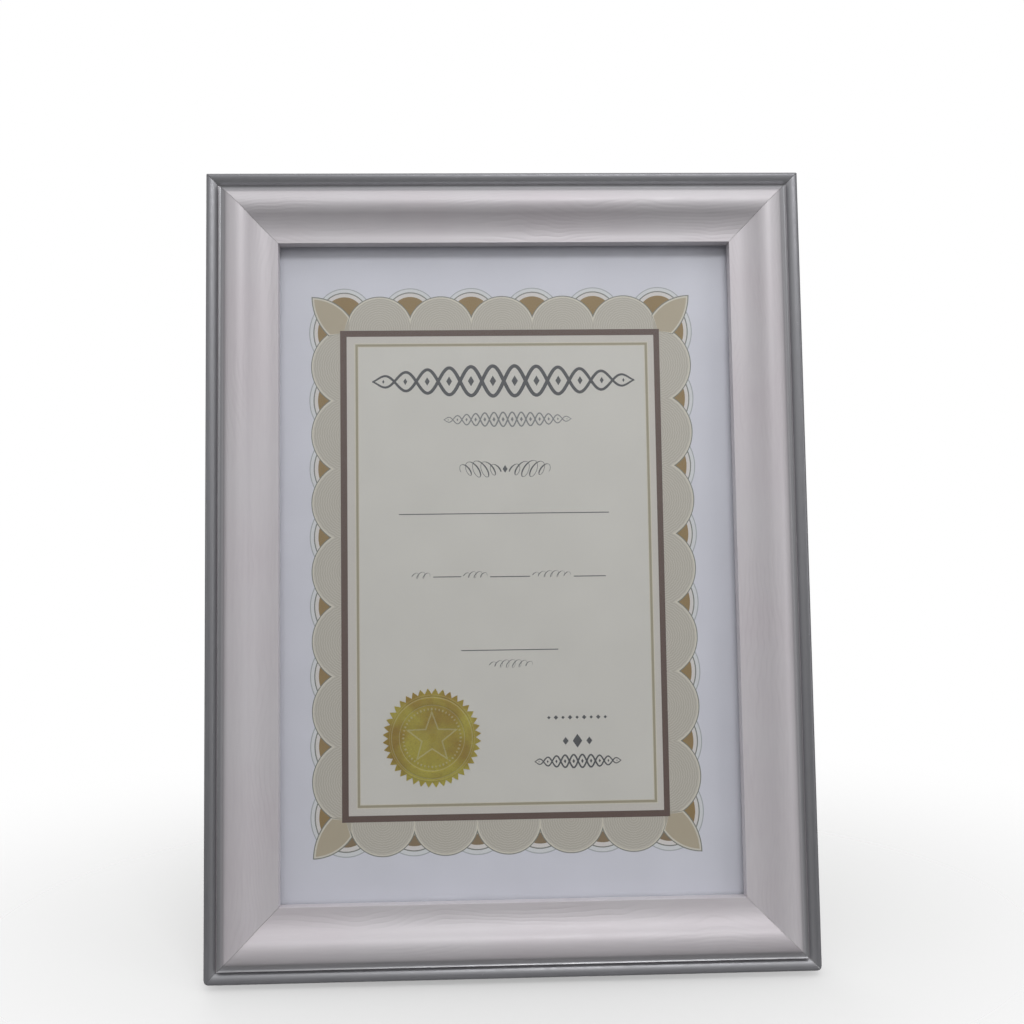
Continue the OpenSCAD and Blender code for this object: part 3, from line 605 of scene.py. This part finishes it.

# The seal is a round of gold foil with a cut-out saw edge, pressed between two dies and stuck on
# the sheet. It has a raised band between two rims, a ring of beads, and a cut star on fine rays,
# with a painted highlight in lighter gold on the rims, the beads, the star's edge and the rays.
SEAL_AT = (-34.6, 100.8)
SEAL_RADIUS, SEAL_ROOT, SEAL_TEETH = 21.5, 19.0, 40
TOOTH_STEPS = 8
SEAL_STEPS = SEAL_TEETH * TOOTH_STEPS
BAND_INNER, BAND_OUTER, RIM_AT = 14.2, 17.6, 18.5
BEADS_AT, BEAD_COUNT, RAY_COUNT, RAY_REACH = 12.5, 48, 96, 11.3
STAR_TIP, STAR_NOTCH = 9.8, 4.1


def rim(radius, middle, half_width):
    """Height, 0 to 1, of a round-topped ring at a radius."""
    return max(0.0, 1 - ((radius - middle) / half_width) ** 2)


def star_depth(radius, turn, tip, notch):
    """Distance of a place inside a five-pointed star from the star's nearest edge."""
    point = (turn - math.pi / 2) % math.radians(72)
    point = min(point, math.radians(72) - point)
    notch_at = Vector((notch * math.cos(math.radians(36)), notch * math.sin(math.radians(36))))
    edge = notch_at - Vector((tip, 0))
    away = Vector((radius * math.cos(point) - tip, radius * math.sin(point)))
    return (edge.y * away.x - edge.x * away.y) / -edge.length


def seal_relief(radius, turn):
    """Height of the pressed foil over the sheet in millimetres, and the share of painted highlight on
    its raised rims, beads, star edge and rays.
    """
    band = (min(1.0, max(0.0, (radius - BAND_INNER) / 0.4))
            * min(1.0, max(0.0, (BAND_OUTER - radius) / 0.4)))
    star = max(0.0, -star_depth(radius, turn, STAR_TIP, STAR_NOTCH))
    beads = rim(radius, BEADS_AT, 0.55) * max(0.0, math.cos(BEAD_COUNT * turn))
    rays = 0.5 + 0.5 * math.cos(RAY_COUNT * turn) if star == 0 and 2 < radius < RAY_REACH else 0.0
    # The rims, the beads, the star's edge and the rays are painted lighter where they stand up: a
    # painted highlight on the relief.
    highlit_rims = (rim(radius, BAND_INNER, 0.16) + rim(radius, BAND_OUTER, 0.16)
             + 0.6 * rim(radius, RIM_AT, 0.14))
    high = 0.03 + 0.045 * band + 0.03 * rim(radius, RIM_AT, 0.3) + 0.035 * beads + 0.006 * rays
    high += min(0.075, 0.03 * star)
    outlined = 0.15 < star < 0.75
    return high, min(1.0, 0.8 * highlit_rims + 0.9 * (beads > 0.3) + 0.85 * outlined + 0.12 * rays)


radii = [0.3 * k for k in range(1, 40)]
radii += [12.0 + 0.12 * k for k in range(9)]
radii += [13.3, 13.7, 14.0, 14.1, BAND_INNER, 14.3, 14.45, 14.6, 15.2, 15.9, 16.6, 17.1, 17.35, 17.5,
          BAND_OUTER, 17.7, 17.9, 18.15, 18.3, 18.4, RIM_AT, 18.6, 18.7, 18.85, 19.6, 20.4, SEAL_RADIUS]
points, highlight_shares, faces = [(*SEAL_AT, SHEET_FACE + seal_relief(0, 0)[0])], [0.0], []
for radius in radii + [SEAL_RADIUS]:
    low = len(points) > SEAL_STEPS * len(radii)
    for k in range(SEAL_STEPS):
        turn = math.tau * k / SEAL_STEPS
        high, bright = seal_relief(radius, turn)
        reach = radius
        if radius > SEAL_ROOT - 0.1:
            tooth = 1 - abs(2 * ((k / TOOTH_STEPS) % 1) - 1)
            reach = SEAL_ROOT + (radius - SEAL_ROOT) * (tooth * 0.97 + 0.03)
        points.append((SEAL_AT[0] + reach * math.cos(turn), SEAL_AT[1] + reach * math.sin(turn),
                       SHEET_FACE + (0.004 if low else high)))
        highlight_shares.append(bright)
faces += [(0, 1 + k, 1 + (k + 1) % SEAL_STEPS) for k in range(SEAL_STEPS)]
for ring in range(len(radii)):
    inner, outer = 1 + ring * SEAL_STEPS, 1 + (ring + 1) * SEAL_STEPS
    for k in range(SEAL_STEPS):
        after = (k + 1) % SEAL_STEPS
        faces.append((inner + k, outer + k, outer + after, inner + after))
faces.append(tuple(reversed(range(1 + len(radii) * SEAL_STEPS, len(points)))))

gold_foil, shader = new_finish("gold_foil", (0.5, 0.38, 0.07), 0.32, Metallic=0.75)
place = add(gold_foil, "TexCoord", {}, out=3)
cloud = add(gold_foil, "TexNoise", {"Vector": place, "Scale": 75, "Detail": 2})
speck = add(gold_foil, "TexNoise", {"Vector": place, "Scale": 1500, "Detail": 4})
# The painted highlight lightens the gold on the raised rims, beads, star edge and rays.
painted_highlight_share = add(gold_foil, "Attribute", {}, out=2, attribute_name="bright")
tone = blended(gold_foil, ranged(gold_foil, cloud, 0.38, 0.62, 0, 1),
               (0.52, 0.34, 0.06, 1), (0.7, 0.6, 0.1, 1))
mottled = blended(gold_foil, ranged(gold_foil, speck, 0.5, 0.8, 0, 0.4), tone, (0.3, 0.2, 0.045, 1))
lit = blended(gold_foil, ranged(gold_foil, painted_highlight_share, 0, 1, 0, 0.75), mottled, (0.8, 0.75, 0.42, 1))
linked(gold_foil, lit, shader, "Base Color")
linked(gold_foil, ranged(gold_foil, speck, 0.3, 0.7, 0.28, 0.42), shader, "Roughness")
seal = bench_piece("certificate_seal", points, faces, [gold_foil], crease=50)
seal.data.attributes.new("bright", "FLOAT", "POINT").data.foreach_set("value", highlight_shares)

# The glass is a flat pane of 2 mm picture glass. It lies in the rabbet, held by the sheet and the
# board behind it. A few faint wipe marks show where it catches the light.
FACE_ON_GLOSS = 0.043
picture_glass, shader = new_finish("picture_glass", (1, 1, 1), 0.02)
tree = picture_glass.node_tree
tree.nodes.remove(shader)
place = add(picture_glass, "TexCoord", {}, out=3)
swept = add(picture_glass, "Mapping", {0: place, 2: (0.3, 0.2, 0.5), 3: (1, 0.15, 1)})
wipes = add(picture_glass, "TexNoise", {"Vector": swept, "Scale": 60, "Detail": 5, "Roughness": 0.65})
gloss = add(picture_glass, "BsdfAnisotropic", {"Color": (0.95, 0.98, 1, 1),
            "Roughness": ranged(picture_glass, wipes, 0.45, 0.75, 0.015, 0.09)})
clear = add(picture_glass, "BsdfTransparent", {"Color": (0.965, 0.97, 0.968, 1)})
edge_on = add(picture_glass, "LayerWeight", {"Blend": 0.5}, out=1)
steep = add(picture_glass, "Math", {0: edge_on, 1: 5.0}, operation="POWER")
share = add(picture_glass, "Math", {0: steep, 1: 1 - FACE_ON_GLOSS, 2: FACE_ON_GLOSS},
            operation="MULTIPLY_ADD")
mixed = add(picture_glass, "MixShader", {0: share, 1: clear, 2: gloss})
tree.links.new(mixed, tree.nodes["Material Output"].inputs["Surface"])
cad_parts["glazing_pane"].material_slots[0].material = picture_glass

# The back and the strut are sawn from smooth brown fibreboard with flecked faces.
# The back drops in behind the sheet, and the strut hangs on the riveted hinge.
fibreboard, shader = new_finish("fibreboard", (0.2, 0.12, 0.065), 0.55, Specular_IOR_Level=0.4)
place = add(fibreboard, "TexCoord", {}, out=3)
cloud = add(fibreboard, "TexNoise", {"Vector": place, "Scale": 18, "Detail": 4})
fibre = add(fibreboard, "TexNoise", {"Vector": add(fibreboard, "Mapping", {0: place, 3: (1, 0.5, 0.4)}),
                                     "Scale": 900, "Detail": 6, "Roughness": 0.7, "Distortion": 0.6})
fleck = add(fibreboard, "TexVoronoi", {"Vector": place, "Scale": 420, "Randomness": 1.0})
ground = blended(fibreboard, ranged(fibreboard, cloud, 0.3, 0.7, 0, 1),
                 (0.17, 0.10, 0.052, 1), (0.235, 0.145, 0.08, 1))
woven = blended(fibreboard, ranged(fibreboard, fibre, 0.35, 0.7, 0, 0.7), ground, (0.31, 0.205, 0.12, 1))
linked(fibreboard, blended(fibreboard, ranged(fibreboard, fleck, 0.0, 0.16, 0.55, 0), woven,
                           (0.09, 0.052, 0.03, 1)), shader, "Base Color")
linked(fibreboard, ranged(fibreboard, fibre, 0.3, 0.7, 0.48, 0.66), shader, "Roughness")
bumped(fibreboard, shader, fibre, 0.00008, 0.7)


def edged(node, finish, width):
    """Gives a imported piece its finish, with its sharp edges rounded to a width in millimetres."""
    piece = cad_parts[node]
    piece.material_slots[0].material = finish
    piece.modifiers.new("weld", "WELD").merge_threshold = 0.000001
    edge = piece.modifiers.new("edge", "BEVEL")
    edge.width, edge.segments = width * MM, 2
    edge.limit_method, edge.angle_limit = "ANGLE", math.radians(40)
    edge.harden_normals = True


for node in ("backing_board", "strut"):
    edged(node, fibreboard, 0.25)

# The hinge, its pin and rivets, the buttons and their screws, and the hangers are zinc-plated mild
# steel: pressed or turned, tumbled, plated, and a little scuffed from handling.
def plated_steel(name, colour, low, high):
    """Bright zinc on steel, its shine uneven, with hair scratches."""
    finish, shader = new_finish(name, colour, low, Metallic=1.0)
    place = add(finish, "TexCoord", {}, out=3)
    cloud = add(finish, "TexNoise", {"Vector": place, "Scale": 160, "Detail": 5, "Roughness": 0.6})
    hair = add(finish, "TexNoise", {"Vector": add(finish, "Mapping", {0: place, 2: (0.2, 0.5, 0.8),
                                                                      3: (1, 0.05, 1)}),
                                    "Scale": 2200, "Detail": 2})
    dull = tuple(0.72 * c for c in colour)
    tone = blended(finish, ranged(finish, cloud, 0.35, 0.7, 0, 0.8), (*colour, 1), (*dull, 1))
    linked(finish, tone, shader, "Base Color")
    linked(finish, ranged(finish, cloud, 0.3, 0.7, low, high), shader, "Roughness")
    bumped(finish, shader, hair, 0.00001, 0.5)
    return finish


pressed_zinc = plated_steel("pressed_zinc", (0.58, 0.59, 0.60), 0.28, 0.48)
bright_zinc = plated_steel("bright_zinc", (0.68, 0.69, 0.70), 0.16, 0.34)
PRESSED = ["hinge_board_leaf", "hinge_strut_leaf", "hanger_strap_upright", "hanger_strap_sideways"]
PRESSED += [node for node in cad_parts
            if node.startswith("turn_button_") and node != "turn_button_screws"]
BRIGHT = ["corner_v_nails", "hinge_pin", "hinge_board_rivets", "strut_rivets", "turn_button_screws",
          "hanger_ring_upright", "hanger_ring_sideways", "hanger_rivets"]
for names, finish, width in ((PRESSED, pressed_zinc, 0.12), (BRIGHT, bright_zinc, 0.08)):
    for node in names:
        edged(node, finish, width)

# The table is a plain pale surface that the frame stands on. It shows most right under the frame,
# where it catches the frame's shadow, and fades into the pale room round it.
TABLE_RADIUS, TABLE_SIDES = 1.6, 64
table_turns = [math.tau * k / TABLE_SIDES for k in range(TABLE_SIDES)]
table_top = bpy.data.meshes.new("table")
table_top.from_pydata([(TABLE_RADIUS * math.cos(a), TABLE_RADIUS * math.sin(a), 0) for a in table_turns],
                      [], [tuple(range(TABLE_SIDES))])
table = bpy.data.objects.new("table", table_top)
bpy.context.scene.collection.objects.link(table)
pale_table, shader = new_finish("pale_table", (0.72, 0.72, 0.72), 0.7)
tree = pale_table.node_tree
squeezed = add(pale_table, "Mapping", {0: add(pale_table, "TexCoord", {}, out=3), 3: (0.55, 1, 1)})
far = add(pale_table, "VectorMath", {0: squeezed}, out=1, operation="LENGTH")
fade = add(pale_table, "MapRange", {"Value": far, "From Min": 0.02, "From Max": 0.24, "To Min": 0.35},
           interpolation_type="SMOOTHSTEP")
clear = add(pale_table, "BsdfTransparent", {})
mixed = add(pale_table, "MixShader", {0: fade, 1: shader.outputs[0], 2: clear})
tree.links.new(mixed, tree.nodes["Material Output"].inputs["Surface"])
table_top.materials.append(pale_table)

# Soft studio light. A small panel high in front throws the top rail's shadow on the sheet, and wide
# panels overhead, at both sides and behind, with a pale room, fill the rest in.
def softbox(name, place, aim, width, height, power):
    """A rectangular soft light, facing a point of the object."""
    light = bpy.data.lights.new(name, "AREA")
    light.shape, light.size, light.size_y, light.energy = "RECTANGLE", width, height, power
    box = bpy.data.objects.new(name, light)
    bpy.context.scene.collection.objects.link(box)
    box.location = place
    box.rotation_euler = (Vector(aim) - Vector(place)).to_track_quat("-Z", "Y").to_euler()


softbox("key", (0.13, -0.545, 0.843), (0, 0, 0.25), 0.34, 0.13, 1.92)
softbox("overhead", (0.1, -0.2, 1.2), (0, 0, 0.1), 1.1, 0.5, 1.5)
softbox("right", (0.8, -0.5, 0.35), (0, 0, 0.2), 0.4, 0.5, 1.05)
softbox("left", (-0.9, -0.35, 0.35), (0, 0, 0.2), 0.4, 0.5, 0.7)
softbox("rear", (-0.3, 0.9, 0.5), (0, 0, 0.2), 0.8, 0.6, 3.0)

FLOOR_GLOW, CEILING_GLOW = 0.12, 0.67
room = bpy.data.worlds.new("room")
room.use_nodes = True
bpy.context.scene.world = room
backdrop = room.node_tree.nodes["Background"].inputs
backdrop["Color"].default_value = (1, 1, 1, 1)
height = add(room, "SeparateXYZ", {0: add(room, "TexCoord", {})}, out=2)
glow = ranged(room, height, -0.1, 0.6, FLOOR_GLOW, CEILING_GLOW)
seen = add(room, "LightPath", {})
room.node_tree.links.new(add(room, "Mix", {0: seen, 2: glow, 3: 1.0}), backdrop["Strength"])
bpy.context.scene.view_settings.view_transform = "Standard"
